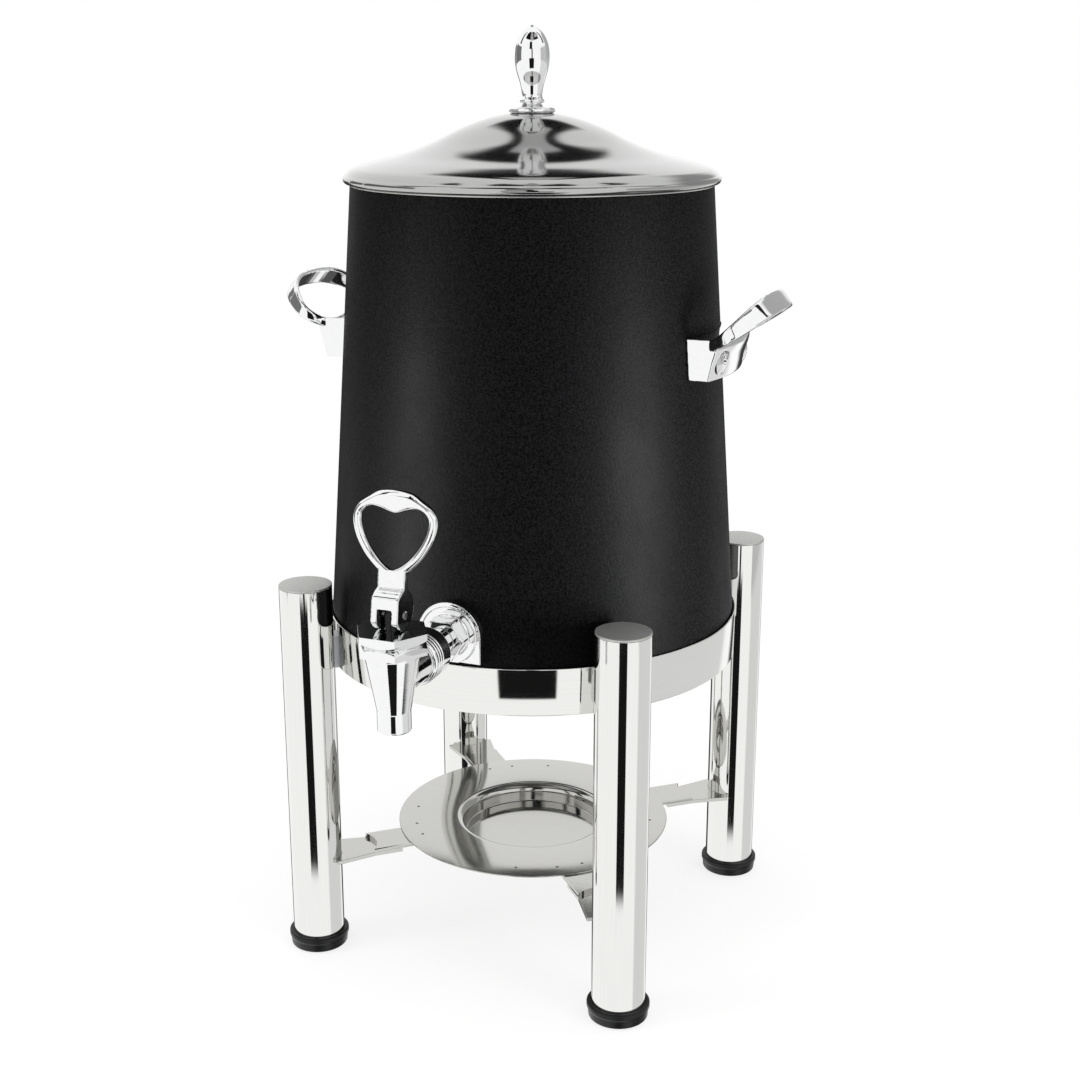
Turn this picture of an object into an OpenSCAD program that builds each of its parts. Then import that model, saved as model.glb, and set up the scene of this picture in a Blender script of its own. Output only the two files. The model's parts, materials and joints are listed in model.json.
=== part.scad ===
// Coffee urn: a tapered insulated body with a lift-off lid and a lever tap, standing in
// a ring that four tubular pillars carry above a tray for a fuel can.
// All sizes are millimetres. The origin is on the table, midway between the four feet.
// The body stands slightly turned on its stand: its tap points roughly along -Y and its
// side handles roughly along +X and -X.

/* [Body] */
// Height of the body's bottom edge above the table
body_z = 249; // [200:0.5:300]
// Height of the tapered jacket
body_h = 313.5; // [250:0.5:360]
// Outer radius of the jacket at its bottom edge
body_bottom_r = 150.8; // [142:0.1:170]
// Outer radius of the jacket at its top edge
body_top_r = 128.3; // [112:0.1:138]
// Sheet thickness of the jacket
jacket_t = 1.2; // [0.8:0.1:2]
// Gap between the straight-walled liner and the jacket's top edge
liner_gap = 6.8; // [4:0.1:15]
// Sheet thickness of the liner
liner_t = 1; // [0.6:0.1:2]
// Radius of the liner's rounded bottom corner
liner_corner_r = 8; // [4:0.5:14]
// Radius of the bead rolled round the liner's rim
rim_bead_r = 0.8; // [0.6:0.1:1.5]
// Thickness of the annular base plate under the liner
base_t = 1.2; // [0.8:0.1:3]
// Radius of the opening in the base plate that leaves the liner's bottom bare to the flame
base_open_r = 100; // [80:1:110]
// Angle by which the body, with its tap and handles, stands turned on the stand
body_turn = 3.3; // [-8:0.1:8]

/* [Lid] */
// Overhang of the lid's rolled rim beyond the jacket's top edge
lid_overhang = 4.7; // [3:0.1:6]
// Radius of the rolled rim's section
lid_bead_r = 3.1; // [2:0.1:4]
// Height of the dome above the middle of the rolled rim
dome_h = 44; // [34:0.5:60]
// Sheet thickness of the dome
lid_t = 1; // [0.8:0.1:2]
// Depth that the locating skirt reaches into the liner
skirt_depth = 9; // [5:0.5:20]
// Play between the locating skirt and the liner
skirt_play = 0.6; // [0.3:0.1:1.5]

/* [Finial] */
// Height of the finial above its seat on the dome
finial_h = 59; // [45:0.5:75]
// Largest radius of the finial's drop-shaped grip
finial_r = 12.4; // [9:0.1:16]
// Radius of the finial's neck
finial_neck_r = 7.2; // [5.5:0.1:9]
// Radius of the finial's flange
finial_flange_r = 16.2; // [13:0.1:19]
// Thickness of the finial's flange
finial_flange_t = 3.2; // [2:0.1:5]
// Radius of the stud screw that holds the finial
stud_r = 3; // [2:0.5:4]

/* [Stand ring] */
// Height of the ring band
ring_h = 33.4; // [24:0.1:45]
// Height of the ring band's top edge above the ledge that carries the body
ring_rise = 5.8; // [3:0.1:6]
// Sheet thickness of the ring band
ring_t = 1.5; // [1:0.1:3]
// Play between the ring band and the body
ring_play = 0.3; // [0.3:0.1:2]
// Width of the ledge inside the ring
ledge_w = 13; // [8:0.5:20]
// Thickness of the ledge
ledge_t = 2; // [1:0.1:4]

/* [Pillars] */
// Outer diameter of the pillar tube
pillar_d = 38.1; // [30:0.1:50]
// Wall of the pillar tube
pillar_wall = 1.5; // [1:0.1:3]
// Height of the pillar tops above the ring's top edge
pillar_rise = 31.2; // [10:0.1:60]
// Gap between the ring band and each pillar, filled by a spacer
pillar_gap = 2.2; // [1:0.1:6]
// Width of the spacer between ring and pillar
spacer_w = 14; // [10:0.5:20]
// Height of the spacer
spacer_h = 24; // [18:0.5:24]
// Thickness of the plug cap's disc
cap_t = 1.5; // [1:0.1:3]
// Depth of the plug cap inside the tube
cap_plug_h = 8; // [4:0.5:15]
// Thickness of rubber under the pillar tube
foot_floor = 3; // [2:0.1:6]
// Wall of the rubber foot round the tube
foot_wall = 3.2; // [2:0.1:5]
// Height of the rubber foot
foot_h = 12; // [9:0.5:20]

/* [Brace and tray] */
// Height of the top of the fuel tray
tray_z = 77; // [66:0.5:120]
// Distance from the fuel tray's edge to the pillars
tray_gap = 49.8; // [40:0.1:62]
// Sheet thickness of the fuel tray
tray_t = 1.2; // [0.8:0.1:2]
// Outer radius of the rounded lip that turns down into the well
well_lip_r = 63.5; // [58:0.5:68]
// Inner radius of the well's floor
well_floor_r = 52.3; // [46:0.1:54]
// Depth of the well that holds the fuel can
well_depth = 14; // [12:0.5:20]
// Width of the spider's ring under the tray
spider_ring_w = 12; // [8:0.5:16]
// Thickness of the spider's plate and of the tabs under it
brace_t = 3; // [2:0.1:5]
// Width of each spider arm
arm_w = 28; // [20:0.5:32]
// Bare stretch of tab between the end of an arm and its pillar
arm_gap = 22.5; // [16:0.5:26]
// Radius of the concave cut across the end of each arm
arm_end_r = 23; // [18:0.5:40]
// Length of tab that lies under the arm
tab_overlap = 22; // [16:0.5:24]
// Extra width of a tab where it meets its pillar
tab_flare = 5; // [0:0.5:8]

/* [Handles] */
// Height of the middle of the handle screws
handle_z = 449.5; // [400:0.5:500]
// Width of a handle
handle_w = 89; // [76:0.5:96]
// Height of a handle's foot
handle_foot_h = 28.5; // [24:0.5:36]
// Thickness of the foot at its bottom edge
handle_foot_t = 14; // [10:0.5:18]
// Extra thickness of the foot at its crest
handle_flare = 6.5; // [3:0.5:9]
// Reach of the grip strap's middle line outwards from its roots
grip_reach = 34.5; // [28:0.5:46]
// Angle at which the grip rises from its roots to its tip
grip_rise = 38; // [15:0.5:45]
// Lean of the strap's faces from the vertical at the grip's tip
grip_lean = 40; // [20:1:50]
// Bulge of the grip's sides beyond the ends of the foot
grip_bulge = 6; // [0:0.5:9]
// Width of the strap at the grip's tip
grip_w = 15.7; // [12:0.1:20]
// Width of the strap at its roots
grip_root_w = 7.6; // [6:0.1:10]
// Thickness of the strap
grip_t = 3.6; // [2.5:0.1:5]
// Distance between the two screws of a handle
handle_screw_pitch = 62; // [50:0.5:66]
// Radius of the handle screws' domed heads
handle_head_r = 8.2; // [5:0.1:8.5]
// Height of the handle screws' domed heads
handle_head_h = 2.6; // [1.5:0.1:4]

/* [Tap] */
// Distance from the body's outer face to the tap's upright axis
tap_reach = 88.2; // [80:0.1:110]
// Length of the tap's neck from the upright axis to the shank
neck_length = 40; // [38:0.5:44]
// Height of the shank's axis above the body's bottom edge
shank_rise = 27; // [24:0.5:40]
// Radius of the threaded shank
shank_r = 9.5; // [8:0.1:11]
// Radius of the bore through the shank
shank_bore_r = 6.5; // [5:0.1:7]
// Half width of the arched cover plate round the shank
cover_r = 22.8; // [21:0.1:26]
// Height of the cover plate's flat face in front of the body
cover_t = 4.2; // [3:0.1:8]
// Height of each of the two rings that step the cover plate's face
cover_step = 1.1; // [0.5:0.1:2]
// Gap between the cover plate and the top edge of the stand's ring
cover_gap = 2.5; // [0.5:0.1:5]
// Radius of the tap body at its top
tap_top_r = 17.8; // [17:0.1:20]
// Radius of the spout's tip
tip_r = 10.9; // [10:0.1:12.5]
// Wall of the spout's tip
tip_wall = 2.6; // [1.5:0.1:3]
// Height of the spout's straight tip
tip_h = 13.6; // [8:0.1:20]
// Height of the spout's tapered stretch
spout_h = 36.9; // [34:0.1:46]
// Height of the tap body's straight collar under the bonnet
collar_h = 2.5; // [1:0.1:6]
// Height of the shank's axis above the bottom of the spout's taper
shank_in_spout = 22; // [21:0.5:24]
// Distance from the middle of the hexagonal bonnet to its corners
bonnet_corner_r = 24.2; // [22:0.1:27]
// Height of the bonnet
bonnet_h = 13.9; // [10:0.1:16]
// Depth of the groove turned round the bonnet, from its flats
bonnet_groove = 1.2; // [0.5:0.1:2]

/* [Lever and valve] */
// Radius of the black valve post that carries the lever's pin
post_r = 4.6; // [4:0.1:5.5]
// Radius of the lever's pin
pin_r = 2; // [1.5:0.1:2.5]
// Radius of the lever's round heel, which turns over the bonnet as a cam
heel_r = 13; // [11:0.1:14]
// Distance from the lever's pin up to the middle of its round heel
heel_offset = 3.3; // [2.5:0.1:4]
// Distance from the middle of the heel to the flat on its front
heel_front = 10.8; // [10:0.1:12]
// Rise of the valve post when the lever is pulled
lift = 2.4; // [2.2:0.1:4]
// Width of the lever's heel and stem
lever_w = 18.4; // [16:0.1:22]
// Thickness of the lever's stem
stem_t = 6.2; // [4:0.1:8]
// Length of the lever's stem from its pin to the heart-shaped grip
stem_h = 27.8; // [25:0.1:38]
// Angle by which the closed lever leans back towards the body
lever_lean = 8.5; // [0:0.5:12]
// Outer width of the heart-shaped grip
heart_w = 57.4; // [48:0.1:70]
// Height of the heart-shaped grip above the stem
heart_h = 49.9; // [44:0.1:64]
// Half thickness of the grip's sides, square to its plane
heart_side = 3.1; // [2.2:0.1:4]
// Half thickness of the grip's finger rest, square to its plane
finger_rest = 5.4; // [4:0.1:7]
// Radius of the closing spring's wire
spring_wire_r = 0.7; // [0.5:0.05:0.9]
// Turns of the closing spring
spring_turns = 4; // [3:1:5]

/* [Hidden] */
$fn = 96;

CORNERS = ["back_right", "back_left", "front_left", "front_right"];
SIDES = ["right", "left"];

// Play of a shaft in its hole, and of a screw in its hole
run_play = 0.05;
screw_play = 0.1;
// Gap left where a moving piece lies close to a fixed one
rest_gap = 0.3;
// Overreach of a cutting shape beyond the surface it cuts
cut = 1;
// Largest size of a cutting block
huge = 800;

// Jacket, liner and ring
body_top_z = body_z + body_h;
liner_r = body_top_r - liner_gap;
rim_r = body_top_r - jacket_t / 2;
rim_z = body_top_z + 2 * rim_bead_r;
liner_floor_z = body_z + base_t;
ring_in_r = body_bottom_r + ring_play;
ring_out_r = ring_in_r + ring_t;
ring_top_z = body_z + ring_rise;
ring_bottom_z = ring_top_z - ring_h;

// Pillars
pillar_r = pillar_d / 2;
pillar_circle_r = ring_out_r + pillar_gap + pillar_r;
pillar_top_z = ring_top_z + pillar_rise;
pillar_in_r = pillar_r - pillar_wall;
ring_screw_r = 2.5;
ring_head_r = 4.5;
ring_head_h = 2.4;
ring_screw_inset = 6;
ring_screw_tip = 2;
spacer_z = ring_bottom_z + 0.5;

// Brace and tray
arm_z = tray_z - tray_t - brace_t;
tab_z = arm_z - brace_t;
arm_end_x = pillar_circle_r - pillar_r - arm_gap;
tab_in_x = arm_end_x - tab_overlap;
tray_r = pillar_circle_r - pillar_r - tray_gap;
well_round_r = 5;
spider_in_r = well_lip_r + rest_gap;
brace_screw_x = arm_end_x - tab_overlap / 2 - 3;
brace_screw_r = 2.5;
brace_head_r = 4.6;
brace_head_h = 2.2;

// Handles
handle_foot_z = handle_z - 11;
handle_crest_z = handle_foot_z + handle_foot_h * 0.78;
handle_top_z = handle_foot_z + handle_foot_h;
handle_screw_r = 3;
handle_plate_t = 3.5;
handle_plate_h = 20;
grip_inset = 3;

// Lid and finial
lid_r = body_top_r + lid_overhang;
lid_bead_z = rim_z + lid_bead_r;
finial_seat_z = lid_bead_z + dome_h;
finial_flat_r = finial_flange_r + 1;
stud_depth = 12;
washer_t = 1;

// Tap, in the turned frame of the body
shank_z = body_z + shank_rise;
tap_y = -(body_r(shank_z) + tap_reach);
spout_z = shank_z - shank_in_spout;
tip_z = spout_z - tip_h;
collar_z = spout_z + spout_h;
bonnet_z = collar_z + collar_h;
bonnet_top_z = bonnet_z + bonnet_h;
cover_y = -(body_r(shank_z) + cover_t);
cover_depth = cover_t + cover_r;
neck_r = 12;
neck_y = tap_y + neck_length;
union_r = 16.8;
union_back_y = neck_y + 12;
union_front_y = neck_y - 11;
locknut_y = cover_y - 2 * cover_step;
locknut_t = 12;
locknut_flats = 27;
seat_z = spout_z + 13;
chamber_r = 11.2;
chamber_rise = 3;
tip_edge_r = 0.6;
neck_collar_r = 14.5;
bonnet_plug_r = 14.5;
bonnet_plug_h = 5;
spout_slope = (tap_top_r - tip_r) / spout_h;

// Lever and valve
pin_z = bonnet_top_z + rest_gap + heel_r - heel_offset * cos(lever_lean);
spindle_r = 4;
cup_h = 7;
cup_r = 9.8;
seal_t = 1.5;
spring_r = 6.2;
spring_bottom_z = seat_z + cup_h + 2;
spring_top_z = bonnet_z - bonnet_plug_h - seal_t;

// Outer radius of the jacket at a height above the table
function body_r(z) = body_bottom_r + (body_top_r - body_bottom_r) * (z - body_z) / body_h;

// Outer radius of the spout at a height above the table
function spout_r(z) = tip_r + spout_slope * (z - spout_z);

// One point of a curve that runs smoothly from point b to point c
function between(a, b, c, d, t) =
    0.5 * (2 * b + (c - a) * t + (2 * a - 5 * b + 4 * c - d) * t * t
        + (3 * b - a - 3 * c + d) * t * t * t);

// A smooth open curve through the points, with a number of steps between each two
function curve(points, steps) = let (last = len(points) - 1) concat(
    [for (i = [0:last - 1], k = [0:steps - 1])
        between(points[max(i - 1, 0)], points[i], points[i + 1], points[min(i + 2, last)], k / steps)],
    [points[last]]
);

// The faces of a tube made of rings of points; a closed tube joins its last ring to its first
function tube_faces(rings, sides, closed) = concat(
    [for (i = [0:rings - (closed ? 1 : 2)], j = [0:sides - 1])
        let (a = i * sides, b = ((i + 1) % rings) * sides, k = (j + 1) % sides)
        [a + j, b + j, b + k, a + k]],
    closed ? [] : [[for (j = [0:sides - 1]) j], [for (j = [sides - 1:-1:0]) (rings - 1) * sides + j]]
);

// Turns the body and all that is on it to where it stands on the stand
module turned() {
    rotate([0, 0, body_turn]) children();
}

// Turns the children to the direction of one of the four pillars
module at_corner(i) {
    rotate([0, 0, 45 + 90 * i]) children();
}

// A cylinder along +X
module x_rod(r, x0, x1) {
    translate([x0, 0, 0]) rotate([0, 90, 0]) cylinder(r = r, h = x1 - x0);
}

// A cylinder along +Y
module y_rod(r, y0, y1) {
    translate([0, y1, 0]) rotate([90, 0, 0]) cylinder(r = r, h = y1 - y0);
}

// A hexagonal bar along +Y, with two flats level
module y_hex(flats, y0, y1) {
    translate([0, y1, 0]) rotate([90, 0, 0]) cylinder(r = flats / 2 / cos(30), h = y1 - y0, $fn = 6);
}

// A domed screw head whose flat side lies at x = 0 and whose dome points along +X
module x_dome(r, h) {
    ball_r = (r * r + h * h) / (2 * h);
    edge_angle = asin(r / ball_r);
    steps = 5;
    rotate([0, 90, 0]) rotate_extrude() polygon(concat([[0, 0]], [for (k = [0:steps])
        let (a = edge_angle * (1 - k / steps)) [ball_r * sin(a), h - ball_r + ball_r * cos(a)]]));
}

// The solid cone of the jacket's outer face, grown by a margin
module body_cone(grow) {
    translate([0, 0, body_z]) cylinder(r1 = body_bottom_r + grow, r2 = body_top_r + grow, h = body_h);
}

// The space inside the jacket, run on past both ends along the same slope
module body_hollow() {
    slope = (body_bottom_r - body_top_r) / body_h * cut;
    translate([0, 0, body_z - cut]) cylinder(
        r1 = body_bottom_r - jacket_t + slope,
        r2 = body_top_r - jacket_t - slope,
        h = body_h + 2 * cut
    );
}

// ---- Stand ----

// One pillar: a polished tube, drilled for the two ring screws
module pillar(i) {
    color("silver") difference() {
        at_corner(i) translate([pillar_circle_r, 0, foot_floor]) difference() {
            cylinder(r = pillar_r, h = pillar_top_z - cap_t - foot_floor);
            translate([0, 0, -cut]) cylinder(r = pillar_in_r, h = pillar_top_z + 2 * cut);
        }
        ring_screw_holes(i);
    }
}

// The flat disc that closes a pillar, with the plug that holds it in the tube
module pillar_cap(i) {
    color("gainsboro") at_corner(i) translate([pillar_circle_r, 0, 0]) {
        translate([0, 0, pillar_top_z - cap_t]) cylinder(r = pillar_r, h = cap_t);
        translate([0, 0, pillar_top_z - cap_t - cap_plug_h])
            cylinder(r = pillar_in_r - screw_play, h = cap_plug_h);
    }
}

// The black rubber cup pressed on the bottom end of a pillar
module foot(i) {
    lower_r = pillar_r + foot_wall - 1.6;
    upper_r = pillar_r + foot_wall;
    color("black") at_corner(i) translate([pillar_circle_r, 0, 0]) rotate_extrude()
        polygon(concat(
            [[0, 0], [lower_r - 2, 0]],
            curve([[lower_r - 2, 0], [lower_r - 0.3, 1], [upper_r, 4]], 4),
            [[upper_r, foot_h], [pillar_r + run_play, foot_h], [pillar_r + run_play, foot_floor],
                [0, foot_floor]]
        ));
}

// The heights of the two screws that tie a pillar to the ring
function ring_screw_heights() =
    [spacer_z + ring_screw_inset, spacer_z + spacer_h - ring_screw_inset - ledge_t];

module ring_screw_holes(i) {
    for (z = ring_screw_heights())
        at_corner(i) translate([0, 0, z])
            x_rod(ring_screw_r + screw_play, ring_in_r - cut, pillar_circle_r - pillar_r + 4 * pillar_wall);
}

// The polished band that surrounds the body's bottom edge
module stand_ring() {
    color("silver") difference() {
        translate([0, 0, ring_bottom_z]) cylinder(r = ring_out_r, h = ring_h);
        translate([0, 0, ring_bottom_z - cut]) cylinder(r = ring_in_r, h = ring_h + 2 * cut);
        for (i = [0:3]) ring_screw_holes(i);
    }
}

// The flat ledge inside the ring that carries the body
module ring_ledge() {
    color("gray") translate([0, 0, body_z - ledge_t]) difference() {
        cylinder(r = ring_in_r, h = ledge_t);
        translate([0, 0, -cut]) cylinder(r = ring_in_r - ledge_w, h = ledge_t + 2 * cut);
    }
}

// The block between the ring band and a pillar, hollowed to fit both
module ring_spacer(i) {
    color("gray") difference() {
        at_corner(i) translate([ring_out_r - cut, -spacer_w / 2, spacer_z])
            cube([pillar_gap + 4 * cut, spacer_w, spacer_h]);
        translate([0, 0, spacer_z - cut]) cylinder(r = ring_out_r, h = spacer_h + 2 * cut, $fn = 720);
        at_corner(i) translate([pillar_circle_r, 0, spacer_z - cut])
            cylinder(r = pillar_r, h = spacer_h + 2 * cut, $fn = 360);
        ring_screw_holes(i);
    }
}

// The screws that go through the ring and spacers into threaded inserts in the pillars
module ring_screws() {
    color("dimgray") for (i = [0:3], z = ring_screw_heights())
        at_corner(i) translate([0, 0, z]) {
            seat_x = ring_in_r - 0.1;
            translate([seat_x, 0, 0]) mirror([1, 0, 0]) x_dome(ring_head_r, ring_head_h);
            x_rod(ring_screw_r, seat_x - run_play, pillar_circle_r - pillar_r + pillar_wall + ring_screw_tip);
        }
}

// The plate welded to a pillar, which carries the end of a spider arm
module brace_tab(i) {
    half = arm_w / 2;
    weld_x = pillar_circle_r - pillar_r + half * 0.45;
    color("lightgray") difference() {
        at_corner(i) translate([0, 0, tab_z]) linear_extrude(brace_t) polygon([
            [tab_in_x, -half], [arm_end_x, -half], [weld_x, -half - tab_flare], [weld_x + 4, 0],
            [weld_x, half + tab_flare], [arm_end_x, half], [tab_in_x, half]
        ]);
        at_corner(i) translate([pillar_circle_r, 0, 0]) cylinder(r = pillar_r, h = pillar_top_z);
        brace_screw_hole(i);
    }
}

module brace_screw_hole(i) {
    at_corner(i) translate([brace_screw_x, 0, tab_z - cut])
        cylinder(r = brace_screw_r + screw_play, h = 2 * brace_t + cut - 1.2);
}

// The flat four-armed plate under the tray; each arm ends in a concave arc
module brace_spider() {
    notch_depth = arm_end_r - sqrt(pow(arm_end_r, 2) - pow(arm_w / 2, 2));
    color("lightgray") difference() {
        union() {
            translate([0, 0, arm_z]) cylinder(r = spider_in_r + spider_ring_w, h = brace_t);
            for (i = [0:3]) at_corner(i) translate([spider_in_r + 2, -arm_w / 2, arm_z])
                cube([arm_end_x - spider_in_r - 2, arm_w, brace_t]);
        }
        translate([0, 0, arm_z - cut]) cylinder(r = spider_in_r, h = brace_t + 2 * cut);
        for (i = [0:3]) at_corner(i)
            translate([arm_end_x - notch_depth + arm_end_r, 0, arm_z - cut])
                cylinder(r = arm_end_r, h = brace_t + 2 * cut);
        for (i = [0:3]) brace_screw_hole(i);
    }
}

// The screws that hold each arm down on its tab, from below into blind threads
module brace_screws() {
    color("dimgray") for (i = [0:3]) at_corner(i) translate([brace_screw_x, 0, tab_z]) {
        rotate([0, 90, 0]) x_dome(brace_head_r, brace_head_h);
        translate([0, 0, -0.5]) cylinder(r = brace_screw_r, h = 2 * brace_t - 1.5 + 0.5);
    }
}

// The round tray with a pressed well that centres a fuel can
module fuel_tray() {
    floor_z = tray_z - well_depth;
    out_r = well_round_r;
    in_r = well_round_r - tray_t;
    color("lightgray") rotate_extrude() polygon(concat(
        [[0, floor_z - tray_t], [well_floor_r, floor_z - tray_t]],
        [for (a = [-90:15:0])
            [well_floor_r + (tray_t + 1) * cos(a), floor_z + 1 + (tray_t + 1) * sin(a)]],
        [[well_floor_r + tray_t + 1, tray_z - out_r]],
        [for (a = [180:-15:90])
            [well_floor_r + tray_t + 1 + in_r + in_r * cos(a), tray_z - out_r + in_r * sin(a)]],
        [[tray_r, tray_z - tray_t], [tray_r, tray_z]],
        [for (a = [90:15:180])
            [well_floor_r + tray_t + 1 + in_r + out_r * cos(a), tray_z - out_r + out_r * sin(a)]],
        [for (a = [0:-30:-90]) [well_floor_r + cos(a), floor_z + 1 + sin(a)]],
        [[0, floor_z]]
    ));
}

// ---- Body ----

// The tapered outer jacket, open at both ends
module body_jacket() {
    color([0.14, 0.14, 0.14]) difference() {
        body_cone(0);
        body_hollow();
        translate([0, 0, shank_z]) y_rod(shank_r + screw_play, tap_y, 0);
        for (side = [0, 1]) handle_screw_holes(side);
    }
}

// The annular plate that closes the space between jacket and liner
module body_base() {
    gap = jacket_t + run_play;
    color("gray") translate([0, 0, body_z]) difference() {
        cylinder(r1 = body_r(body_z) - gap, r2 = body_r(body_z + base_t) - gap, h = base_t);
        translate([0, 0, -cut]) cylinder(r = base_open_r, h = base_t + 2 * cut);
    }
}

// The straight-walled pot that holds the coffee, with a flange whose rolled edge lies on the jacket
module liner() {
    out_r = liner_corner_r;
    in_r = liner_corner_r - liner_t;
    inner_r = liner_r - liner_t;
    corner_x = liner_r - liner_corner_r;
    corner_z = liner_floor_z + liner_corner_r;
    color("gainsboro") difference() {
        rotate_extrude() {
            polygon(concat(
                [[0, liner_floor_z]],
                [for (a = [-90:15:0]) [corner_x + out_r * cos(a), corner_z + out_r * sin(a)]],
                [[liner_r, rim_z - liner_t], [rim_r, rim_z - liner_t], [rim_r, rim_z], [inner_r, rim_z]],
                [for (a = [0:-15:-90]) [corner_x + in_r * cos(a), corner_z + in_r * sin(a)]],
                [[0, liner_floor_z + liner_t]]
            ));
            translate([rim_r, rim_z - rim_bead_r]) circle(r = rim_bead_r, $fn = 24);
        }
        translate([0, 0, shank_z]) y_rod(shank_r + screw_play, tap_y, 0);
    }
}

// ---- Lid ----

// The dome's outer face from the edge of the finial's seat to the rim, as shares of the lid's radius
// and of the dome's height over the rim's middle
function dome_points() = [
    [finial_flat_r / lid_r, 1], [0.24, 0.925], [0.38, 0.77], [0.53, 0.55], [0.68, 0.385],
    [0.83, 0.27], [0.93, 0.175], [lid_bead_point(50)[0] / lid_r, lid_bead_point(50)[1] / dome_h]
];

// A point on the rolled rim at an angle, from the lid's axis and the rim's middle
function lid_bead_point(angle) = [lid_r - lid_bead_r + lid_bead_r * cos(angle), lid_bead_r * sin(angle)];

// Radius and height over the table along the dome's outer face, with a flat seat for the finial
function dome_curve() = concat([[0, finial_seat_z]],
    [for (p = curve(dome_points(), 4)) [p[0] * lid_r, lid_bead_z + p[1] * dome_h]]);

// The polished dome with its rolled rim
module lid_dome() {
    outer = dome_curve();
    n = len(outer);
    color("silver") difference() {
        rotate_extrude() polygon(concat(
            outer,
            [for (a = [30:-20:-230]) lid_bead_point(a) + [0, lid_bead_z]],
            [for (i = [n - 3:-1:0]) outer[i] - [0, lid_t]]
        ));
        translate([0, 0, finial_seat_z - 2 * lid_t]) cylinder(r = stud_r + screw_play, h = 4 * lid_t);
    }
}

// The ring under the lid that drops into the liner's mouth
module lid_skirt() {
    out_r = liner_r - liner_t - skirt_play;
    skirt_t = 1;
    color("gray") rotate_extrude() polygon([
        [out_r - skirt_t, rim_z - skirt_depth],
        [out_r, rim_z - skirt_depth],
        [out_r, dome_under(out_r)],
        [out_r - skirt_t, dome_under(out_r - skirt_t)]
    ]);
}

// Height of the dome's inner face at a radius
function dome_under(r) = lookup(r, dome_curve()) - lid_t;

// The turned, drop-shaped knob
module finial() {
    edge_r = finial_flange_t / 2;
    bead_r = 1.6;
    bead_z = finial_flange_t + 4.2;
    neck_z = finial_flange_t + 9;
    profile = curve([
        [finial_neck_r, neck_z], [finial_neck_r * 1.16, finial_h * 0.34], [finial_r * 0.9, finial_h * 0.5],
        [finial_r, finial_h * 0.65], [finial_r * 0.92, finial_h * 0.79], [finial_r * 0.66, finial_h * 0.91],
        [finial_r * 0.3, finial_h * 0.985], [0, finial_h]
    ], 4);
    color("silver") translate([0, 0, finial_seat_z]) difference() {
        rotate_extrude() {
            polygon(concat(
                [[0, 0], [finial_flange_r - edge_r, 0]],
                [for (a = [-60:30:90])
                    [finial_flange_r - edge_r + edge_r * cos(a), edge_r + edge_r * sin(a)]],
                curve([[finial_neck_r + 4, finial_flange_t + 0.2], [finial_neck_r, finial_flange_t + 1.6],
                    [finial_neck_r - 0.6, bead_z - 1.5]], 4),
                profile
            ));
            translate([finial_neck_r - bead_r / 2, bead_z]) circle(r = bead_r, $fn = 24);
        }
        translate([0, 0, -cut]) cylinder(r = stud_r, h = stud_depth + cut);
    }
}

// The screw under the dome that holds the finial
module finial_stud() {
    head_z = finial_seat_z - lid_t - washer_t;
    head_h = 3.2;
    color("dimgray") translate([0, 0, head_z]) {
        cylinder(r = stud_r - run_play, h = lid_t + washer_t + stud_depth - 2);
        rotate([0, 90, 0]) x_dome(2 * stud_r, head_h);
    }
}

// The washer between the screw's head and the dome
module finial_washer() {
    color("gray") translate([0, 0, finial_seat_z - lid_t - washer_t]) difference() {
        cylinder(r = 3 * stud_r, h = washer_t);
        translate([0, 0, -cut]) cylinder(r = stud_r + screw_play, h = washer_t + 2 * cut);
    }
}

// ---- Handles ----

// Puts the children on the right side, or turned half round on the left side
module on_side(side) {
    rotate([0, 0, 180 * side]) children();
}

module handle_screw_holes(side) {
    for (s = [-1, 1]) on_side(side) translate([0, s * handle_screw_pitch / 2, handle_z])
        x_rod(handle_screw_r + screw_play, liner_r + cut, body_bottom_r);
}

// The x of the flat that each handle screw's head sits on
handle_seat_x = sqrt(pow(body_r(handle_z) + handle_foot_t + handle_flare * 0.35, 2)
    - pow(handle_screw_pitch / 2, 2)) - 0.8;

// One cast handle: a foot that follows the jacket and a flat strap that loops out of its top
module handle(side) {
    color("silver") on_side(side) difference() {
        union() {
            handle_foot();
            handle_grip();
        }
        body_cone(0);
        for (s = [-1, 1]) translate([0, s * handle_screw_pitch / 2, handle_z]) {
            x_rod(handle_screw_r + screw_play, liner_r, handle_seat_x + cut);
            x_rod(handle_head_r + rest_gap, handle_seat_x, handle_seat_x + 4 * handle_flare);
        }
    }
}

// The foot: a ring sector concentric with the jacket, thicker at its crest
module handle_foot() {
    bottom_r = body_r(handle_foot_z) + handle_foot_t;
    crest_r = body_r(handle_crest_z) + handle_foot_t + handle_flare;
    top_r = body_r(handle_top_z) + handle_foot_t + handle_flare * 0.5;
    intersection() {
        rotate_extrude() polygon(concat(
            [[body_r(handle_foot_z) - cut, handle_foot_z]],
            curve([[bottom_r, handle_foot_z], [bottom_r + handle_flare * 0.35, handle_z],
                [crest_r, handle_crest_z], [top_r, handle_top_z]], 4),
            [[body_r(handle_top_z) - cut, handle_top_z]]
        ));
        translate([0, -handle_w / 2, handle_foot_z]) cube([huge, handle_w, handle_foot_h]);
    }
}

// One half of the grip's middle line seen from above, from its root in the foot to its tip:
// the share of its reach, and the distance from the middle of the handle
function grip_plan() = let (half = handle_w / 2, full = half + grip_bulge) [
    [-0.15, half - grip_t], [0.06, half], [0.22, half + 0.7 * grip_bulge], [0.4, full],
    [0.58, 0.93 * full], [0.74, 0.83 * full], [0.88, 0.66 * full], [0.97, 0.4 * full], [1, 0]
];

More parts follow.
